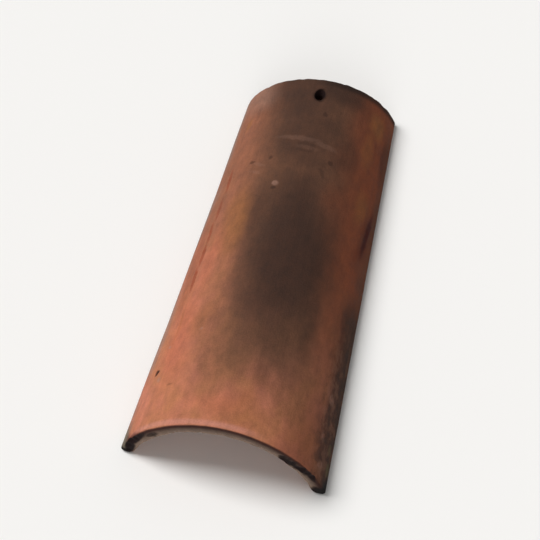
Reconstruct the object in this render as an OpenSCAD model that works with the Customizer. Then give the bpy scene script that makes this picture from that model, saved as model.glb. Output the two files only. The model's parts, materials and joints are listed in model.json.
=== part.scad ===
// Tapered barrel roof tile of fired clay, one moulded piece.
// It lies crown up on its two long edges, with the narrow head end toward +Y.
// Every cross-section is an arc of a circle, cut off square by the floor.

/* [Length] */
// Length from the wide tail end to the narrow head end, mm
tile_len = 457; // [300:1:600]

/* [Wide tail end] */
// Width over the two long edges at the tail, mm
tail_w = 205; // [140:1:280]
// Height of the crown above the floor at the tail, mm
tail_rise = 80; // [50:1:110]

/* [Narrow head end] */
// Width over the two long edges at the head, mm
head_w = 158; // [100:1:240]
// Height of the crown above the floor at the head, mm
head_rise = 59; // [35:1:100]

/* [Wall] */
// Thickness of the clay wall, mm
wall = 13.5; // [8:0.5:22]

/* [Nail hole] */
// Diameter of the nail hole, mm
nail_d = 8; // [4:0.5:12]
// Distance of the nail hole from the head end, mm
nail_back = 23; // [15:1:60]

/* [Hidden] */
$fn = 180;

// Radius of the arc that has width w on the floor and height h at the crown
function arc_r(w, h) = (w * w / 4 + h * h) / (2 * h);

tail_r = arc_r(tail_w, tail_rise);
head_r = arc_r(head_w, head_rise);

// Height of each arc's centre, below the floor
tail_z = tail_rise - tail_r;
head_z = head_rise - head_r;

// The arch cones run past both ends, so the end cuts are clean
over = 30;
r_step = (tail_r - head_r) * over / tile_len;

// Slope of the line of arc centres, and angle at which the crown falls
centre_slope = (head_z - tail_z) / tile_len;
crown_fall = atan((tail_rise - head_rise) / tile_len);

// Place of the nail hole on the outer face of the crown
nail_y = tile_len / 2 - nail_back;
nail_z = head_rise + (tail_rise - head_rise) * nail_back / tile_len;

// Solid cone through both end arcs, smaller by t all round.
// The shear lifts each arc to its own centre height and leaves it round.
module arch_cone(t) {
  multmatrix([
    [1, 0, 0, 0],
    [0, 1, 0, 0],
    [0, centre_slope, 1, (tail_z + head_z) / 2]
  ])
    rotate([-90, 0, 0])
      cylinder(
        h = tile_len + 2 * over,
        r1 = tail_r + r_step - t,
        r2 = head_r - r_step - t,
        center = true
      );
}

// Space above the floor and between the two square end cuts
module floor_and_ends() {
  translate([-tail_w, -tile_len / 2, 0])
    cube([2 * tail_w, tile_len, 2 * tail_rise]);
}

// Nail hole, square to the slope of the crown
module nail_hole() {
  translate([0, nail_y, nail_z])
    rotate([-crown_fall, 0, 0])
      cylinder(h = 4 * wall, d = nail_d, center = true);
}

module tile() {
  color([0.62, 0.36, 0.26])
    difference() {
      intersection() {
        arch_cone(0);
        floor_and_ends();
      }
      arch_cone(wall);
      nail_hole();
    }
}

tile();
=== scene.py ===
"""Tapered barrel roof tile of fired clay, lying crown up on a pale floor."""

import json
from math import cos, radians, sin

import bpy
import numpy as np
from mathutils import Matrix, Vector


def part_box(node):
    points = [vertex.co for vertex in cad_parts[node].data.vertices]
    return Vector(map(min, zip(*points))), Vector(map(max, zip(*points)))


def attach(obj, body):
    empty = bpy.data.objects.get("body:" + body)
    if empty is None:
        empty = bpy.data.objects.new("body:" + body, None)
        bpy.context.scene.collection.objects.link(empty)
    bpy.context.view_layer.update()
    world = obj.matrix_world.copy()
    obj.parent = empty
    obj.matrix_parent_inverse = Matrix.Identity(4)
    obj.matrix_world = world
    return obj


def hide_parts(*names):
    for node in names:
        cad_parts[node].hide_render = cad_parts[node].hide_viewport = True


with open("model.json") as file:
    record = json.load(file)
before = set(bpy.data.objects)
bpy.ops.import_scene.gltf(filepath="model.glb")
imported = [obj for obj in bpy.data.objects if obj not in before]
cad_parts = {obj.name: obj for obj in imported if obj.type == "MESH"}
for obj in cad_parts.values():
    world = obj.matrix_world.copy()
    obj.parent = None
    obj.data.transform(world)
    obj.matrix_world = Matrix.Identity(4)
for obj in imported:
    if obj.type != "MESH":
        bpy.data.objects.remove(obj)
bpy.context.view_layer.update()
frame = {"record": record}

MM = 0.001

# ---------------------------------------------------------------- tile sizes
# All in metres, unless a name or a comment says mm. The box gives the length and
# the tail end. The head end and the wall are the part's own sizes.
LOW, HIGH = (np.array(corner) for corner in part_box("tile"))
LENGTH = HIGH[1] - LOW[1]
TAIL_WIDTH, TAIL_RISE = HIGH[0] - LOW[0], HIGH[2] - LOW[2]
HEAD_WIDTH, HEAD_RISE = 158 * MM, 59 * MM
WALL = 13.5 * MM
HALF_WALL = WALL / 2
HALF_LENGTH = LENGTH / 2

NAIL_HOLE = next(m for m in frame["record"]["mounts"] if m["name"] == "nail_hole")
NAIL_RADIUS = NAIL_HOLE["dims"]["r_mm"] * MM
NAIL_Y = NAIL_HOLE["pos_m"][1]
NAIL_LEAN = NAIL_HOLE["axis"][1] / NAIL_HOLE["axis"][2]

# Hand-struck clay is never quite square: each end is cut at a small slant, in
# metres along for each metre across, and the left long edge is drawn in a
# little along its middle.
TAIL_SLANT, HEAD_SLANT = -0.009, 0.078
LEFT_DRAW_IN = 1.2 * MM

TINY = 1e-12  # keeps a division from meeting 0


def arc_of(width, rise):
    """Arc through both long edges and the crown.

    The radius is (width squared / 4 + rise squared) / (2 rise), and the centre
    lies one radius below the crown.
    """
    radius = (width * width / 4 + rise * rise) / (2 * rise)
    return radius, rise - radius


TAIL_RADIUS, TAIL_CENTRE = arc_of(TAIL_WIDTH, TAIL_RISE)
HEAD_RADIUS, HEAD_CENTRE = arc_of(HEAD_WIDTH, HEAD_RISE)


def wall_arc(y):
    """Radius of the middle of the wall, and height of its centre.

    Both run in a straight line from the tail's to the head's.
    """
    share = (y + HALF_LENGTH) / LENGTH
    radius = TAIL_RADIUS + (HEAD_RADIUS - TAIL_RADIUS) * share - HALF_WALL
    return radius, TAIL_CENTRE + (HEAD_CENTRE - TAIL_CENTRE) * share


def wall_point(across, y, depth):
    """Place in space of a point of the wall.

    At each cross-section the point lies at the middle radius plus depth, and
    turned from the crown by across times the angle at which that radius meets
    the floor.
    """
    radius, centre = wall_arc(y)
    radius = radius + depth
    angle = across * np.arccos(np.clip(-centre / radius, -1, 1))
    return np.stack([radius * np.sin(angle), y, centre + radius * np.cos(angle)], axis=-1)


def half_arc(y):
    """Length from the crown to a long edge along the middle of the wall."""
    radius, centre = wall_arc(y)
    return radius * np.arccos(-centre / radius)


def end_slant(points):
    """How far each point moves along the tile, for the slanted end cuts."""
    share = (points[..., 1] + HALF_LENGTH) / LENGTH
    return points[..., 0] * (TAIL_SLANT + (HEAD_SLANT - TAIL_SLANT) * share)


# ------------------------------------------------------------ uneven surface
def smooth_step(low, high, value):
    """Goes from 0 at low to 1 at high along t squared times (3 - 2 t).

    t is the share of the way from low to high, and low may be the greater one.
    """
    t = np.clip((value - low) / (high - low), 0, 1)
    return t * t * (3 - 2 * t)


# Seeds of the noise. The last four count on from there, one for each layer or hollow.
END_SEED, SWELL_SEED, SOOTY_SHADED_SEED, FRESH_SEED, SHALLOW_SEED = 3, 11, 40, 80, 120

# Whole numbers that mix a lattice place and a seed into a hash
HASH_PLACE = np.array([73856093, 19349663, 83492791], dtype=np.uint64)
HASH_SEED, HASH_MIX, HASH_TOP = 2654435761, 1274126177, 0xFFFFFF


def lump(points, cell, seed):
    """Smooth noise from -1 to 1.

    Each corner of a lattice of the given cell size has a fixed value from a
    whole-number hash, and points between corners blend the eight around them
    with a smooth step on each axis.
    """
    place = points / np.asarray(cell)
    corner = np.floor(place).astype(np.int64)
    t = place - corner
    t = t * t * t * (t * (t * 6 - 15) + 10)
    total = np.zeros(len(points))
    for step in np.ndindex(2, 2, 2):
        key = (corner + np.array(step)).astype(np.uint64) * HASH_PLACE
        mixed = key[:, 0] ^ key[:, 1] ^ key[:, 2] ^ np.uint64(seed * HASH_SEED)
        mixed = (mixed ^ (mixed >> np.uint64(13))) * np.uint64(HASH_MIX)
        mixed = (mixed ^ (mixed >> np.uint64(16))) & np.uint64(HASH_TOP)
        value = mixed.astype(float) / HASH_TOP * 2 - 1
        weight = np.prod(np.where(step, t, 1 - t), axis=1)
        total += value * weight
    return total


# ------------------------------------------------------------------ tile body
# Places of the grid lines. Each run is (start, end, number of steps). They are
# close at the edges, for the rounding, and around the nail hole.
HOLE_STEPS = 16  # steps from side to side of the fine zone around the nail hole
HOLE_BLOCK = 10  # of those, the steps that the hole takes up
HOLE_ZONE = 8 * MM  # half the width of that zone
HOLE_SHARE = HOLE_ZONE / half_arc(NAIL_Y)
EDGE_SHARE = 0.94  # share across where the close lines of a long edge begin
TAIL_ZONE, HEAD_ZONE = 7 * MM, 6 * MM  # lengths of the close lines at the ends
ACROSS_RUNS = [
    (-1.0, -EDGE_SHARE, 8),
    (-EDGE_SHARE, -HOLE_SHARE, 68),
    (-HOLE_SHARE, HOLE_SHARE, HOLE_STEPS),
    (HOLE_SHARE, EDGE_SHARE, 68),
    (EDGE_SHARE, 1.0, 8),
]
ALONG_RUNS = [
    (-HALF_LENGTH, -HALF_LENGTH + TAIL_ZONE, 8),
    (-HALF_LENGTH + TAIL_ZONE, NAIL_Y - HOLE_ZONE, 214),
    (NAIL_Y - HOLE_ZONE, NAIL_Y + HOLE_ZONE, HOLE_STEPS),
    (NAIL_Y + HOLE_ZONE, HALF_LENGTH - HEAD_ZONE, 9),
    (HALF_LENGTH - HEAD_ZONE, HALF_LENGTH, 8),
]
DEPTH_LINES = np.array([-1, -0.9, -0.76, -0.56, -0.30, 0, 0.30, 0.56, 0.76, 0.9, 1]) * HALF_WALL

# Worn arrises: how far each rounding reaches in from its edge, along the skin
# and through the wall
LONG_EDGE_ROUND, LONG_EDGE_DEPTH = 5.0 * MM, 5.5 * MM
END_ROUND, END_DEPTH = 3.2 * MM, 2.4 * MM
END_VARIES, END_LUMP = 0.35, 13 * MM  # share by which an end's rounding varies, and over what length
CORNER_BLEND = (3 * MM, 9 * MM)  # from a long edge, where its depth gives way to the end's
RIM_FLARE_ACROSS, RIM_FLARE_ALONG = 0.9 * MM, 3.8 * MM  # nails have worn the rim
RIM_DEPTH = (-0.2, 1.0)  # share of the half wall where that wear begins and is full

# Uneven clay: none at the feet, so that the tile still lies flat, and torn by
# the cuts at the ends
FOOT_HEIGHT = 6 * MM  # height above the floor by which it is as uneven as elsewhere
TORN_END = (3 * MM, 0.5 * MM)  # from an end, where it begins to be torn and is fully so
BORE_SHARE = 0.3  # how uneven the nail hole is, as a share of the rest
FULL_BITE = 1.6 * MM  # depth of a bite that shows its full colour

# A faint fold across the crown near the head: its place along at the crown, how
# far it drops toward the tail for each share across on the right, its half
# width and its height
FOLD_Y, FOLD_DROP, FOLD_HALF, FOLD_HEIGHT = 143.5 * MM, 20 * MM, 4.5 * MM, 0.45 * MM
FOLD_LEFT, FOLD_RIGHT = (-0.42, -0.22), (0.26, 0.12)  # shares across, from none of it to all


def grid_lines(runs):
    """Joins straight runs of evenly spaced lines end to end."""
    parts = [np.linspace(start, end, steps, endpoint=False) for start, end, steps in runs]
    return np.concatenate(parts + [[runs[-1][1]]])


def box_surface(ni, nj, nk, hole_i, hole_j):
    """Outer skin of a block of ni by nj by nk cells, with a square hole through k.

    Gives the lattice place of each point and the four-sided faces, all turned
    outwards. hole_i and hole_j are the ranges of lattice lines that bound the
    hole.
    """
    index = -np.ones((ni + 1, nj + 1, nk + 1), dtype=np.int64)
    skin = np.zeros_like(index, dtype=bool)
    skin[[0, -1]] = True
    skin[:, [0, -1]] = True
    skin[:, :, [0, -1]] = True
    (i0, i1), (j0, j1) = hole_i, hole_j
    skin[i0 + 1 : i1, j0 + 1 : j1] = False
    ring = np.zeros((ni + 1, nj + 1), dtype=bool)
    ring[i0 : i1 + 1, j0 : j1 + 1] = True
    ring[i0 + 1 : i1, j0 + 1 : j1] = False
    skin[ring] = True
    places = np.argwhere(skin)
    index[tuple(places.T)] = np.arange(len(places))

    def sheet(grid, flip):
        """Faces between the lines of a grid of point numbers, turned over by flip."""
        quads = np.stack(
            [grid[:-1, :-1], grid[1:, :-1], grid[1:, 1:], grid[:-1, 1:]], axis=-1
        )
        return quads[..., ::-1] if flip else quads

    cut = np.ones((ni, nj), dtype=bool)
    cut[i0:i1, j0:j1] = False
    faces = [sheet(index[:, :, -1], False)[cut], sheet(index[:, :, 0], True)[cut]]
    for grid, flip in (
        (index[:, 0, :], False), (index[:, -1, :], True), (index[-1], False), (index[0], True),
        # the four walls of the hole face the other way
        (index[i0 : i1 + 1, j1, :], False), (index[i0 : i1 + 1, j0, :], True),
        (index[i0, j0 : j1 + 1, :], False), (index[i1, j0 : j1 + 1, :], True),
    ):
        faces.append(sheet(grid, flip).reshape(-1, 4))
    return places, np.concatenate(faces)


def point_normals(points, faces):
    """Outward unit normal of each point, the sum of its faces' normals."""
    a, b, c, d = (points[faces[:, k]] for k in range(4))
    face_normal = np.cross(c - a, d - b)
    total = np.zeros_like(points)
    for k in range(4):
        for axis in range(3):
            total[:, axis] += np.bincount(faces[:, k], face_normal[:, axis], len(points))
    return total / np.maximum(np.linalg.norm(total, axis=1, keepdims=True), TINY)


# Lump size on the skin of a scoop as a share of its radius, and how far that
# radius varies as a share of itself
SCOOP_LUMP, SCOOP_ROUGH = 0.55, 0.12


def scoop(points, centre, radius, seed):
    """Presses points out of a ball, as a chip leaves a shell-shaped hollow.

    A point inside the ball goes straight out from its centre to its skin. Gives
    the points and how far each went.
    """
    away = points - centre
    far = np.linalg.norm(away, axis=1)
    near = far < radius * (1 + SCOOP_ROUGH)
    moved, depth = points.copy(), np.zeros(len(points))
    if near.any():
        skin = radius * (1 + SCOOP_ROUGH * lump(points[near], radius * SCOOP_LUMP, seed))
        depth[near] = np.maximum(skin - far[near], 0)
        moved[near] += away[near] / np.maximum(far[near], TINY)[:, None] * depth[near, None]
    return moved, depth


# Hollows in the skin: (share across, y mm, share of the half wall outwards, ball
# radius mm, bite mm). The ball sits outside, so that it bites in by the last
# number. Sooty ones were there in the kiln and are painted dark, partly as soot
# and partly as painted shade; fresh ones broke out since, and the shallow pits
# keep the colour of the skin. TAIL and HEAD are the ends, in mm.
TAIL, HEAD = -HALF_LENGTH / MM, HALF_LENGTH / MM
SOOTY_SHADED_HOLLOWS = [
    (-0.735, -151.0, 1.0, 5.5, 2.0), (-0.20, TAIL, -0.9, 5.0, 0.8),
    # a ragged hollow in the left foot of the tail end, and a longer one on the right
    (-0.93, TAIL, 0.1, 9.0, 1.6), (-0.88, TAIL, 0.3, 9.0, 2.2), (-0.82, TAIL, 0.5, 9.0, 1.8),
    (-0.76, TAIL, 0.6, 8.0, 1.2), (-0.60, TAIL, -0.3, 6.0, 0.8),
    *[(across, TAIL, 2.4 * across - 1.4, 9.0, 1.5) for across in np.arange(0.48, 0.80, 0.05)],
]
FRESH_CHIPS = [
    (0.78, -138.0, 1.0, 5.0, 0.9), (0.77, -180.0, 1.0, 5.5, 0.9),
    (0.78, -211.0, 1.0, 6.0, 1.0), (0.86, -160.0, 1.0, 5.0, 0.7),
    (-0.97, HEAD, 0.9, 10.0, 3.0), (-0.60, HEAD, 1.0, 6.0, 0.9),
    (0.20, HEAD, 1.0, 7.0, 0.9), (0.55, HEAD, 0.9, 6.0, 1.0), (-0.2, HEAD, -1.0, 7.0, 1.4),
]
SHALLOW_PITS = [
    (-0.52, -175.0, 1.0, 3.5, 0.5), (-0.70, 100.0, 1.0, 5.0, 0.6), (-0.70, 82.0, 1.0, 4.5, 0.5),
    (-0.705, 55.0, 1.0, 5.5, 0.6), (-0.71, 28.0, 1.0, 5.0, 0.6), (-0.70, 4.0, 1.0, 6.0, 0.7),
    (-0.70, -26.0, 1.0, 6.5, 0.7), (-0.71, -52.0, 1.0, 5.0, 0.5), (-0.46, 113.0, 1.0, 4.0, 0.7),
    (-0.28, 116.0, 1.0, 3.5, 0.8), (0.26, 119.0, 1.0, 4.0, 0.6), (0.10, 180.0, 1.0, 3.5, 0.5),
]


def bite_out(points, normal, hollows, seed):
    """Scoops each listed hollow out of the skin.

    Gives the points, and for each of them how deep it was bitten, as a share of
    the depth that shows its full colour.
    """
    bitten = np.zeros(len(points))
    for number, (across, y_mm, side, ball, bite) in enumerate(hollows):
        where = wall_point(across, y_mm * MM, side * HALF_WALL)
        where[1] += end_slant(where)
        nearest = np.argmin(((points - where) ** 2).sum(axis=1))
        centre = points[nearest] + normal[nearest] * (ball - bite) * MM
        points, went = scoop(points, centre, ball * MM, seed + number)
        bitten = np.maximum(bitten, np.clip(went / FULL_BITE, 0, 1))
    return points, bitten


def round_hole(places, middle, across, y, depth):
    """Makes the square hole round, and says which points are the hole's.

    A square ring of lattice lines becomes an ellipse. Its half axes are those of
    the worn hole at that depth, times the ring's number over the number of the
    hole's own ring. Further out the rings fade back to the grid.
    """
    reach = HOLE_BLOCK // 2
    di, dj = places[:, 0] - middle[0], places[:, 1] - middle[1]
    ring = np.maximum(np.abs(di), np.abs(dj))
    angle = np.arctan2(dj, di)
    worn = smooth_step(*RIM_DEPTH, depth / HALF_WALL)
    widen = np.maximum(ring, 1) / reach
    wide = (NAIL_RADIUS + RIM_FLARE_ACROSS * worn) * widen
    long = (NAIL_RADIUS + RIM_FLARE_ALONG * worn) * widen
    share = 1 - smooth_step(reach, HOLE_STEPS // 2, ring)
    across = across + (wide * np.cos(angle) / half_arc(y) - across) * share
    y = y + (NAIL_Y + depth * NAIL_LEAN + long * np.sin(angle) - y) * share
    return across, y, ring <= reach


def wear_edges(unrolled, arc, in_hole):
    """Rounds the edges of the unrolled wall, except those of the hole.

    A point near an edge is drawn back to the block that lies inside all the
    roundings, and put out again to a quarter ellipse around that place.
    """
    count = len(unrolled)
    uneven = 1 + END_VARIES * lump(unrolled * (1, 1, 0), END_LUMP, END_SEED)
    at_foot = 1 - smooth_step(*CORNER_BLEND, arc - np.abs(unrolled[:, 0]))
    end_depth = END_DEPTH * uneven
    end_depth = end_depth + (LONG_EDGE_DEPTH - end_depth) * at_foot
    reach = np.stack([np.full(count, LONG_EDGE_ROUND), END_ROUND * uneven, end_depth], axis=-1)
    half = np.stack([arc, np.full(count, HALF_LENGTH), np.full(count, HALF_WALL)], axis=-1)
    inner = np.clip(unrolled, reach - half, half - reach)
    out = (unrolled - inner) / reach
    size = np.linalg.norm(out, axis=1, keepdims=True)
    worn = inner + reach * out / np.maximum(size, TINY)
    return np.where(in_hole[:, None] | (size < TINY), unrolled, worn)


def fold_height(across, y, depth):
    """Height of the fold in the outer skin.

    It is (1 - s squared) squared, with s the distance from the fold's middle as
    a share of its half width, and fades to nothing at both ends and inward.
    """
    drop = FOLD_DROP * np.maximum(across, 0)
    fold = np.clip(1 - ((y - FOLD_Y + drop) / FOLD_HALF) ** 2, 0, 1) ** 2
    fold *= smooth_step(*FOLD_LEFT, across) * smooth_step(*FOLD_RIGHT, across)
    return FOLD_HEIGHT * fold * smooth_step(0, 0.9, depth / HALF_WALL)


def swell_height(points, across, y, depth):
    """Height of the clay over its true surface: layers of noise, and the fold."""
    inside = smooth_step(0.2, -0.6, depth / HALF_WALL)
    ends = smooth_step(*TORN_END, HALF_LENGTH - np.abs(y))
    swell = fold_height(across, y, depth)
    # Height in mm of each layer, and the size of its lumps in mm across, along and up
    for number, (height, lump_mm) in enumerate((
        (0.55, (70, 110, 70)),  # slump of the wet clay
        (0.16, (22, 34, 22)),  # hands and drying
        (0.07 + 0.13 * inside, (7, 190, 7)),  # lines drawn along the length, deeper inside
        (0.05 + 0.10 * inside, (4.2, 4.2, 4.2)),  # coarse sand
        (0.38 * ends, (5.5, 5.5, 5.5)),  # torn clay at the ends, fine and coarse
        (0.25 * ends, (11, 11, 11)),
    )):
        swell += height * MM * lump(points, np.array(lump_mm) * MM, SWELL_SEED + number)
    return swell


def make_tile_body():
    """Body of the tile: the skin of a block, bent into the tapered arch.

    The block's hole is made round and its edges are worn. It then goes through
    wall_point, the ends slant, the left edge is drawn in, and noise and scoops
    along the normal make the surface uneven.
    """
    across_lines, along_lines = grid_lines(ACROSS_RUNS), grid_lines(ALONG_RUNS)
    ni, nj, nk = len(across_lines) - 1, len(along_lines) - 1, len(DEPTH_LINES) - 1
    middle = (ni // 2, int(np.argmin(np.abs(along_lines - NAIL_Y))))
    hole = [(line - HOLE_BLOCK // 2, line + HOLE_BLOCK // 2) for line in middle]
    places, faces = box_surface(ni, nj, nk, *hole)

    across, y, depth = across_lines[places[:, 0]], along_lines[places[:, 1]], DEPTH_LINES[places[:, 2]]
    across, y, in_hole = round_hole(places, middle, across, y, depth)
    arc = half_arc(y)
    unrolled = wear_edges(np.stack([across * arc, y, depth], axis=-1), arc, in_hole)
    across, y, depth = unrolled[:, 0] / arc, unrolled[:, 1], unrolled[:, 2]
    points = wall_point(across, y, depth)
    points[:, 1] += end_slant(points)
    share = np.clip((y + HALF_LENGTH) / LENGTH, 0, 1)
    points[:, 0] += LEFT_DRAW_IN * np.sin(np.pi * share) ** 2 * smooth_step(0.1, 1.0, -across)

    normal = point_normals(points, faces)
    swell = swell_height(points, across, y, depth) * np.where(in_hole, BORE_SHARE, 1)
    points += normal * (swell * smooth_step(0, FOOT_HEIGHT, points[:, 2]))[:, None]
    # the share of each point in a sooty hollow, painted dark later as soot and painted shade
    points, sooty = bite_out(points, normal, SOOTY_SHADED_HOLLOWS, SOOTY_SHADED_SEED)
    # painted shade: the bore is painted dark from just under its rim
    sooty[in_hole] = smooth_step(1.0, 0.85, depth[in_hole] / HALF_WALL)
    points, fresh = bite_out(points, normal, FRESH_CHIPS, FRESH_SEED)
    points = bite_out(points, normal, SHALLOW_PITS, SHALLOW_SEED)[0]

    mesh = bpy.data.meshes.new("tile_body")
    mesh.from_pydata(points, [], faces)
    lay = np.stack([across, y / HALF_LENGTH, depth / HALF_WALL], axis=-1)
    for name, value in (("lay", lay), ("unrolled", unrolled)):
        layer = mesh.attributes.new(name, "FLOAT_VECTOR", "POINT")
        layer.data.foreach_set("vector", value.astype(np.float32).ravel())
    for name, value in (("sooty", sooty), ("fresh", fresh)):
        layer = mesh.attributes.new(name, "FLOAT", "POINT")
        layer.data.foreach_set("value", value.astype(np.float32))
    mesh.polygons.foreach_set("use_smooth", np.ones(len(faces), dtype=bool))
    mesh.update()
    body = bpy.data.objects.new("tile_body", mesh)
    bpy.context.collection.objects.link(body)
    return body


# ------------------------------------------------------------------ materials
def linear(hex_colour):
    """sRGB hex to linear red, green, blue and an alpha of 1."""
    srgb = [int(hex_colour[k : k + 2], 16) / 255 for k in (1, 3, 5)]
    return [c / 12.92 if c <= 0.04045 else ((c + 0.055) / 1.055) ** 2.4 for c in srgb] + [1.0]


def add(tree, kind, settings=None, **sockets):
    """Adds a node with its settings, and links or sets its sockets by name.

    A socket given as n_ and a number is the input of that number, for nodes
    whose sockets share names. A node given as a value means its first output.
    """
    made = tree.nodes.new("ShaderNode" + kind)
    for name, value in (settings or {}).items():
        setattr(made, name, value)
    for name, value in sockets.items():
        key = int(name[2:]) if name.startswith("n_") else name.replace("_", " ")
        if isinstance(value, bpy.types.Node):
            value = value.outputs[0]
        if isinstance(value, bpy.types.NodeSocket):
            tree.links.new(value, made.inputs[key])
        else:
            made.inputs[key].default_value = value
    return made


SMOOTH = {"interpolation_type": "SMOOTHSTEP"}
SKIN_DEPTH = (-0.4, 0.4)  # share of the half wall where a coat of the outer skin begins and is full
END_FACE = (1.6 * MM, 0.3 * MM)  # from an end, where the colour of its face begins and is full
END_MARK_REACH = 6 * MM  # how far a mark on an end face reaches into the tile

# Edges of a band that lie off the tile, where it doesn't fade
OFF_LEFT, OFF_RIGHT, OFF_TAIL, OFF_HEAD = (-1.6, -1.5), (1.6, 1.5), (-260, -230), (400, 380)


def band(tree, spot, strength, left, right, tail, head, lean=0.0):
    """Share of a coat on an oblong of the outer skin with soft edges.

    It rises from 0 to its strength between the two places of left and of tail,
    and falls back between those of right and of head. left and right are shares
    across, tail and head are in mm along. lean is how far the left edge stands
    further out at the head than at the middle of the tile.
    """
    across, along, depth = spot.outputs
    leant = add(tree, "Math", {"operation": "MULTIPLY_ADD"}, n_0=along, n_1=lean, n_2=across)
    share = strength
    for value, (start, full), unit in (
        (leant, left, 1), (across, right, 1), (along, tail, HEAD), (along, head, HEAD),
        (depth, SKIN_DEPTH, 1),
    ):
        share = add(
            tree, "MapRange", SMOOTH,
            Value=value, From_Min=start / unit, From_Max=full / unit, To_Max=share,
        )
    return share


def ovals(tree, unrolled, marks, full=0.6, on_tail=False):
    """Share of oval marks on the outer skin, each fading at its rim.

    A mark is (share across, y mm, half width mm, half length mm, turn in
    degrees, strength). It has its full strength where the distance from the rim
    is the given share of the half size. Where marks overlap the stronger one
    shows. With on_tail they lie on the tail's end face, and y and half length
    stand for the height from the middle of the wall and the half height.
    """
    total = 0.0
    for across, second, wide, tall, turn, strength in marks:
        if on_tail:
            place = (across * half_arc(-HALF_LENGTH), -HALF_LENGTH, second * MM)
            size, turned = (wide * MM, END_MARK_REACH, tall * MM), (0, radians(-turn), 0)
        else:
            place = (across * half_arc(second * MM), second * MM, HALF_WALL)
            size, turned = (wide * MM, tall * MM, WALL), (0, 0, radians(turn))
        at = add(
            tree, "Mapping", {"vector_type": "TEXTURE"},
            Vector=unrolled, Location=place, Rotation=turned, Scale=size,
        )
        ball = add(tree, "TexGradient", {"gradient_type": "SPHERICAL"}, Vector=at)
        share = add(
            tree, "MapRange", SMOOTH, Value=ball.outputs["Fac"], From_Max=full, To_Max=strength
        )
        total = add(tree, "Math", {"operation": "MAXIMUM"}, n_0=total, n_1=share)
    return total


# Marks on the skin, as ovals takes them. First the broad ones: smoke from the
# kiln, clouds of maroon flashing, brick red and ochre.
SMOKE = [
    (0.12, -4, 60, 170, 4, 0.90), (-0.14, 215, 64, 95, 0, 0.72), (-0.03, 150, 56, 84, 0, 0.62),
    (0.20, 224, 50, 50, 0, 0.80), (0.38, -70, 26, 76, 4, 0.55), (-0.14, 40, 40, 72, 0, 0.58),
    (0.34, 138, 24, 44, 0, 0.50), (0.15, -165, 14, 28, 0, 0.35),
]
MAROON_CLOUDS = [
    (0.80, 56, 14, 66, -4, 0.55), (0.74, -70, 12, 44, -6, 0.40), (0.80, -128, 12, 50, 3, 0.45),
    (0.82, -200, 10, 26, 0, 0.40), (0.87, 165, 8, 42, 0, 0.45),
]
BRICK_CLOUDS = [
    (-0.60, -115, 26, 96, 0, 0.6), (-0.56, -15, 14, 60, 0, 0.4), (-0.1, -195, 40, 20, 0, 0.3),
]
OCHRE_CLOUDS = [
    (0.68, 196, 17, 28, 0, 0.65), (0.60, 160, 12, 28, 0, 0.35), (0.66, 85, 14, 30, 0, 0.45),
    (-0.68, 178, 7, 14, 0, 0.5), (-0.44, 35, 20, 72, 0, 0.5), (-0.42, -95, 18, 44, 0, 0.4),
    (-0.66, -92, 3.5, 26, 0, 0.6), (0.06, -205, 30, 30, 0, 0.45), (0.87, -214, 5, 8, 0, 0.5),
]
# Pale scars along the fold with a painted highlight on its lit side, a pale pit, rubbed spots and the
# chips' dusty rims
PALE_MARKS = [
    (-0.08, 143, 28, 4.4, -2, 0.12), (0.18, 138, 15, 4.6, -12, 0.12), (0.02, 132, 16, 3.4, -6, 0.06),
    (-0.17, 80, 4.4, 4.8, 0, 0.50), (-0.38, 108, 10, 2.6, -25, 0.12), (-0.40, 98, 10, 2.6, -25, 0.12),
    (-0.40, -109, 2.6, 2.2, 0, 0.4), (-0.68, -122, 2.4, 2.8, 0, 0.5), (-0.67, -163, 3.4, 5.0, 30, 0.5),
    (0.79, -138, 4.4, 9.0, 12, 0.35), (0.77, -182, 4.5, 8.0, 0, 0.2), (0.80, -211, 5.5, 6.0, 0, 0.25),
]
# Painted shade in lines below the fold, and dark spots in the pits
DARK_MARKS = [
    (0.01, 136, 12, 2.6, -3, 0.22), (0.0, 127, 12, 2.6, -5, 0.22), (-0.17, 74, 3.6, 2.6, 0, 0.5),
    (0.20, 103, 3.0, 9, 30, 0.3), (0.26, 119, 3.4, 4.0, 0, 0.5), (0.10, 180, 3.0, 3.6, 0, 0.5),
    (-0.735, -151, 3.6, 5.2, 25, 0.5), (-0.52, -175, 4.5, 1.9, 0, 0.3),
    (-0.28, 116, 2.8, 4.0, 0, 0.5), (-0.46, 113, 4.2, 2.8, 0, 0.5),
]
# A maroon streak on the right flank, and maroon at the tail's corners
MAROON_MARKS = [
    (0.82, 64, 5.0, 38, -4, 0.95), (-0.88, -226, 14, 9, 10, 0.9), (-0.76, -228, 14, 6, 0, 0.8),
    (-0.62, -229, 14, 3, 0, 0.6), (0.66, -229, 16, 3, 0, 0.5),
]
# Reddish streaks down the left flank
RED_MARKS = [
    (-0.70, 98, 3.6, 22, 2, 0.6), (-0.70, 60, 3.4, 20, -2, 0.6), (-0.71, 28, 3.6, 20, 2, 0.65),
    (-0.70, -2, 4.0, 22, -2, 0.7), (-0.70, -34, 4.0, 24, 2, 0.7), (-0.78, -18, 11, 80, 0, 0.30),
]
RIM_MARKS = [(0.0, 205.0, 8.0, 11.5, 0, 1.0)]  # soot and painted shade round the nail hole
# Greenish dust at the tail's corners, and black feet there
OLIVE_MARKS = [(0.93, -206, 5, 10, 0, 0.6), (0.90, -186, 4, 8, 0, 0.4), (-0.93, -216, 5, 10, 0, 0.6)]
FOOT_MARKS = [(0.97, -227, 13, 19, 0, 1.0), (-0.99, -228, 8, 14, 0, 1.0)]
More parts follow.
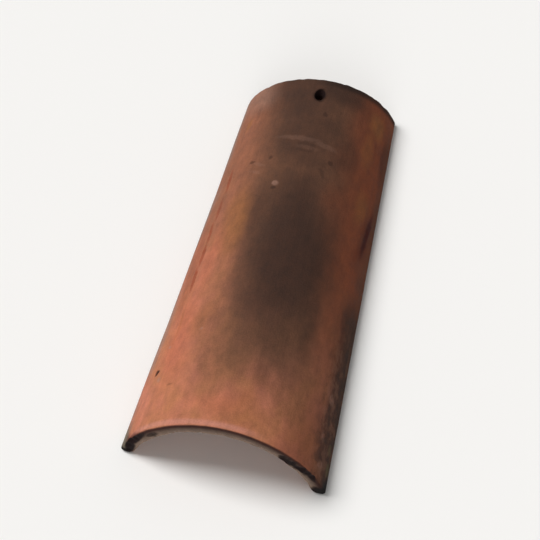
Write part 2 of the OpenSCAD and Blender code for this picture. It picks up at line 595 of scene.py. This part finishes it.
# On the tail's end face: soot and painted shade in its hollows, painted shade in a dark spot between
# them, and at the feet
END_MARKS = [
    (-0.90, 0, 14, 6.0, 14, 1.0), (-0.76, 2.4, 20, 4.6, 6, 0.95), (-0.60, -0.5, 10, 3.6, 0, 0.7),
    (0.55, -2.6, 14, 4.6, 18, 0.95), (0.68, 0.6, 16, 3.8, 14, 1.0), (0.78, 2.6, 8, 2.6, 10, 0.8),
    (0.96, 0, 12, 9, 0, 1.0), (-0.98, 0, 7, 8, 0, 0.9),
]


def clay_noise(tree):
    """Noise for the clay, by the size of its lumps in mm across, along and up.

    The real sand is finer than half a millimetre, too fine to show, so it is
    drawn a few times as coarse.
    """
    place = add(tree, "TexCoord").outputs["Object"]
    noise = {}
    for name, lump_mm, detail, rough in (
        ("wander", (36, 60, 36), 1.0, 0.5),
        ("fray", (6, 9, 6), 3.0, 0.6),
        ("cloud", (38, 60, 38), 3.0, 0.6),
        ("mottle", (9, 15, 9), 3.0, 0.6),
        ("streak", (3.2, 60, 3.2), 2.0, 0.5),
        ("sand", (1.6, 1.6, 1.6), 4.0, 0.7),
    ):
        at = add(
            tree, "Mapping", {"vector_type": "TEXTURE"},
            Vector=place, Scale=[size * MM for size in lump_mm],
        )
        noise[name] = add(
            tree, "TexNoise", {"normalize": False},
            Vector=at, Scale=1.0, Detail=detail, Roughness=rough,
        )
    return noise


def body_coats(tree, noise, depth):
    """Clouds in the clay, and a paler, sandy underside where it lay on the mould."""
    cloud = noise["cloud"]
    return [
        ("#B7705A", add(tree, "MapRange", Value=cloud, From_Min=0.0, From_Max=0.5, To_Max=0.6)),
        ("#A96E4A", add(tree, "MapRange", Value=cloud, From_Min=0.0, From_Max=-0.5, To_Max=0.6)),
        ("#A98068", add(
            tree, "MapRange", SMOOTH, Value=depth, From_Min=-0.5, From_Max=-0.95, To_Max=0.45
        )),
    ]


def kiln_coats(tree, noise, spot, still, wandered):
    """Broad colours that the fire left: browns, smoke, flashing and soot, with painted shade in the soot
    along the right margin.
    """
    mottle = noise["mottle"]
    margin = band(tree, still, 0.3, (0.62, 0.76), OFF_RIGHT, OFF_TAIL, (-20, -130))
    return [
        # duller toward the head
        ("#85543E", band(tree, spot, 0.9, OFF_LEFT, OFF_RIGHT, (-130, 130), OFF_HEAD)),
        # right flank, reddish brown, and more so at the tail's corner
        ("#7C452C", band(tree, spot, 0.8, (0.2, 0.6), OFF_RIGHT, (-190, -60), OFF_HEAD)),
        ("#7A4630", band(tree, spot, 0.6, (0.25, 0.60), OFF_RIGHT, (-260, -240), (-120, -200))),
        # brown haze around the smoke, and a redder one down its right side
        ("#5E4130", band(tree, spot, 0.85, (-0.62, -0.14), (0.80, 0.32), (-212, -128), OFF_HEAD, 0.08)),
        ("#7E3D24", band(tree, spot, 0.45, (0.20, 0.46), (1.0, 0.8), (-90, 10), OFF_HEAD)),
        ("#38261F", ovals(tree, wandered, SMOKE, 0.75)),
        ("#8C5A32", ovals(tree, wandered, OCHRE_CLOUDS, 0.8)),
        ("#AD6146", ovals(tree, wandered, BRICK_CLOUDS, 0.8)),
        ("#3A140F", ovals(tree, wandered, MAROON_CLOUDS, 1.0)),
        # soot and painted shade along the right margin, further in by the tail
        ("#3A2A22", band(tree, spot, 0.6, (0.76, 1.0), OFF_RIGHT, OFF_TAIL, (240, 180))),
        ("#30261F", band(tree, spot, 0.72, (0.60, 0.86), OFF_RIGHT, OFF_TAIL, (0, -60))),
        # flecks of scuffed clay and of deeper soot in it
        ("#86604F", add(
            tree, "MapRange", SMOOTH, Value=mottle, From_Min=0.05, From_Max=0.35, To_Max=margin
        )),
        ("#1F1411", add(
            tree, "MapRange", SMOOTH, Value=mottle, From_Min=-0.05, From_Max=-0.35, To_Max=margin
        )),
        # grey dust along the left margin and over the head's left corner
        ("#84736A", band(tree, spot, 0.6, OFF_LEFT, (-0.82, -0.96), OFF_TAIL, OFF_HEAD)),
        ("#8E7468", band(tree, spot, 0.35, OFF_LEFT, (-0.35, -0.65), (185, 215), OFF_HEAD)),
    ]


def end_coats(tree, attribute, still, frayed):
    """Rubbed and sooty arrises with painted highlight and shade, end faces in painted shade and painted
    light, chips, soot with painted shade, and feet.
    """
    along, depth = still.outputs[1:]
    along_size = add(tree, "Math", {"operation": "ABSOLUTE"}, n_0=along)
    end_face = add(
        tree, "MapRange", SMOOTH, Value=along_size,
        From_Min=1 - END_FACE[0] / HALF_LENGTH, From_Max=1 - END_FACE[1] / HALF_LENGTH,
    )
    end_lit = add(tree, "MapRange", Value=depth, From_Min=0.6, From_Max=-0.7, To_Max=end_face)
    fresh, sooty = (attribute[name].outputs["Fac"] for name in ("fresh", "sooty"))
    return [
        # arris of the tail, rubbed pink with a painted highlight on its lit left half, and of the head,
        # sooty with painted shade
        ("#BF8272", band(tree, still, 0.6, (-0.85, -0.60), (0.35, 0.05), (-229, -225), (-218.5, -223.5))),
        ("#241A16", band(tree, still, 0.8, (-0.2, 0.3), OFF_RIGHT, (217, 224), OFF_HEAD)),
        # painted shade on the end faces, dark maroon outside, with painted light making them greyer
        # toward the inside
        ("#3C231D", end_face),
        ("#8A7566", end_lit),
        # grey left foot
        ("#655D50", band(tree, still, 0.9, OFF_LEFT, (-0.80, -0.90), OFF_TAIL, (-190, -218))),
        # bare clay in the chips, soot and painted shade in the hollows, the bore and on the tail's end
        # face, and black feet
        ("#A87360", add(tree, "MapRange", SMOOTH, Value=fresh, To_Max=0.7)),
        ("#1C0E0E", add(tree, "MapRange", SMOOTH, Value=sooty, To_Max=0.9)),
        ("#1C0E0E", ovals(tree, frayed, END_MARKS, 0.5, on_tail=True)),
        ("#171413", ovals(tree, frayed, FOOT_MARKS)),
    ]


def fired_clay():
    """Unglazed terracotta, pressed and kiln fired, with flashed smoke marks.

    Gives the eye a dry salmon clay with fine sand grain and faint lines drawn
    along its length, browner toward the head, with one dark smoky patch over
    the crown and sooty edges, with painted shade on the right margin, the
    ends, the hollows and round the nail hole, and painted highlights on the
    tail's arris and along the fold.
    """
    clay = bpy.data.materials.new("fired_clay_terracotta")
    clay.use_nodes = True
    tree = clay.node_tree
    tree.nodes.clear()
    noise = clay_noise(tree)
    attribute = {
        name: add(tree, "Attribute", {"attribute_name": name})
        for name in ("lay", "unrolled", "sooty", "fresh")
    }

    # Outlines wander and fray: noise times a reach is added to the place on the
    # tile. The reach is in shares of the lay, or in metres of the unrolled tile.
    drifted, wandered, frayed = (
        add(
            tree, "VectorMath", {"operation": "MULTIPLY_ADD"},
            n_0=noise[kind].outputs["Color"], n_1=reach, n_2=attribute[place].outputs["Vector"],
        )
        for kind, reach, place in (
            ("wander", (0.10, 0.08, 0.0), "lay"),
            ("wander", (8 * MM, 16 * MM, 0.0), "unrolled"),
            ("fray", (0.8 * MM, 1.2 * MM, 0.0), "unrolled"),
        )
    )
    spot = add(tree, "SeparateXYZ", Vector=drifted)
    still = add(tree, "SeparateXYZ", Vector=attribute["lay"].outputs["Vector"])

    # Coats from the clay up, as pairs of colour and share
    coats = body_coats(tree, noise, still.outputs[2])
    coats += kiln_coats(tree, noise, spot, still, wandered)
    # painted light among these: a painted highlight in the pale marks along the fold, and painted shade
    # in the dark lines below it and round the nail hole
    for hex_colour, marks in (
        ("#9C7666", PALE_MARKS), ("#2A1A15", DARK_MARKS), ("#451209", MAROON_MARKS),
        ("#823A24", RED_MARKS), ("#1A0E0A", RIM_MARKS), ("#5E553A", OLIVE_MARKS),
    ):
        coats.append((hex_colour, ovals(tree, frayed, marks)))
    coats += end_coats(tree, attribute, still, frayed)
    colour = linear("#AD6C50")
    for hex_colour, share in coats:
        mixed = add(tree, "Mix", {"data_type": "RGBA"}, n_0=share, n_6=colour, n_7=linear(hex_colour))
        colour = mixed.outputs[2]

    # Fine mottle, drawn streaks and sand lighten and darken the whole skin
    bright = 1.0
    for kind, strength in (("mottle", 0.18), ("streak", 0.05), ("sand", 0.12)):
        bright = add(
            tree, "Math", {"operation": "MULTIPLY_ADD"}, n_0=noise[kind], n_1=strength, n_2=bright
        )
    colour = add(tree, "VectorMath", {"operation": "SCALE"}, n_0=colour, Scale=bright)

    height = add(
        tree, "Math", {"operation": "MULTIPLY_ADD"}, n_0=noise["streak"], n_1=0.6, n_2=noise["sand"]
    )
    bump = add(tree, "Bump", Height=height, Strength=0.35, Distance=0.35 * MM)
    rough = add(
        tree, "MapRange",
        Value=noise["mottle"], From_Min=-0.5, From_Max=0.5, To_Min=0.82, To_Max=0.95,
    )
    finish = add(
        tree, "BsdfPrincipled",
        Base_Color=colour, Roughness=rough, IOR=1.5, Specular_IOR_Level=0.2, Normal=bump,
    )
    add(tree, "OutputMaterial", Surface=finish)
    return clay


def pale_floor():
    """Matt painted board, an even warm white."""
    board = bpy.data.materials.new("pale_floor_board")
    board.use_nodes = True
    finish = board.node_tree.nodes["Principled BSDF"]
    finish.inputs["Base Color"].default_value = linear("#F2F1EF")
    finish.inputs["Roughness"].default_value = 0.95
    return board


# ----------------------------------------------------------- build and dress
tile_body = make_tile_body()
tile_body.data.materials.append(fired_clay())
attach(tile_body, "root")
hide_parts("tile")

FLOOR_HALF = 4.0  # half of its side
floor_mesh = bpy.data.meshes.new("floor")
floor_mesh.from_pydata(
    [(x * FLOOR_HALF, y * FLOOR_HALF, 0) for x, y in ((-1, -1), (1, -1), (1, 1), (-1, 1))],
    [], [(0, 1, 2, 3)],
)
floor = bpy.data.objects.new("floor", floor_mesh)
floor.data.materials.append(pale_floor())
bpy.context.collection.objects.link(floor)

# --------------------------------------------------------------- light, camera
scene = bpy.context.scene
scene.view_settings.view_transform = "Standard"

world = bpy.data.worlds.new("studio")
world.use_nodes = True
sky = world.node_tree.nodes["Background"].inputs
sky["Color"].default_value = (1.0, 0.985, 0.965, 1)  # linear, a slightly warm white
sky["Strength"].default_value = 0.22
scene.world = world

# Each light is its name, the direction it comes from, its strength and its
# angle in degrees: a broad soft key high on the left and a little behind, and a
# weak fill from the tail end
for name, direction, strength, spread in (
    ("key", (-0.58, 0.10, 0.80), 2.8, 30), ("fill", (0.10, -0.90, 0.42), 0.7, 40),
):
    light_data = bpy.data.lights.new(name, "SUN")
    light_data.angle = radians(spread)
    light_data.energy = strength
    light = bpy.data.objects.new(name, light_data)
    light.rotation_euler = Vector(direction).to_track_quat("Z", "Y").to_euler()
    bpy.context.collection.objects.link(light)

# The camera looks down from the front, a little to the right. AIM is the point
# in the middle of the render.
AZIMUTH, ELEVATION, ROLL = radians(10.25), radians(54.40), radians(3.11)
DISTANCE = 2.688
LENS_PER_WIDTH = 4.990  # focal length over the picture's width
AIM = Vector((-0.00416, -0.00725, 0.03542))
back = Vector((sin(AZIMUTH) * cos(ELEVATION), -cos(AZIMUTH) * cos(ELEVATION), sin(ELEVATION)))
level = Vector((cos(AZIMUTH), sin(AZIMUTH), 0))
right = level * cos(ROLL) + back.cross(level) * sin(ROLL)
camera_data = bpy.data.cameras.new("camera")
camera_data.lens = LENS_PER_WIDTH * camera_data.sensor_width
camera = bpy.data.objects.new("camera", camera_data)
turn = Matrix((right, back.cross(right), back)).transposed().to_4x4()
camera.matrix_world = Matrix.Translation(AIM + back * DISTANCE) @ turn
bpy.context.collection.objects.link(camera)
scene.camera = camera
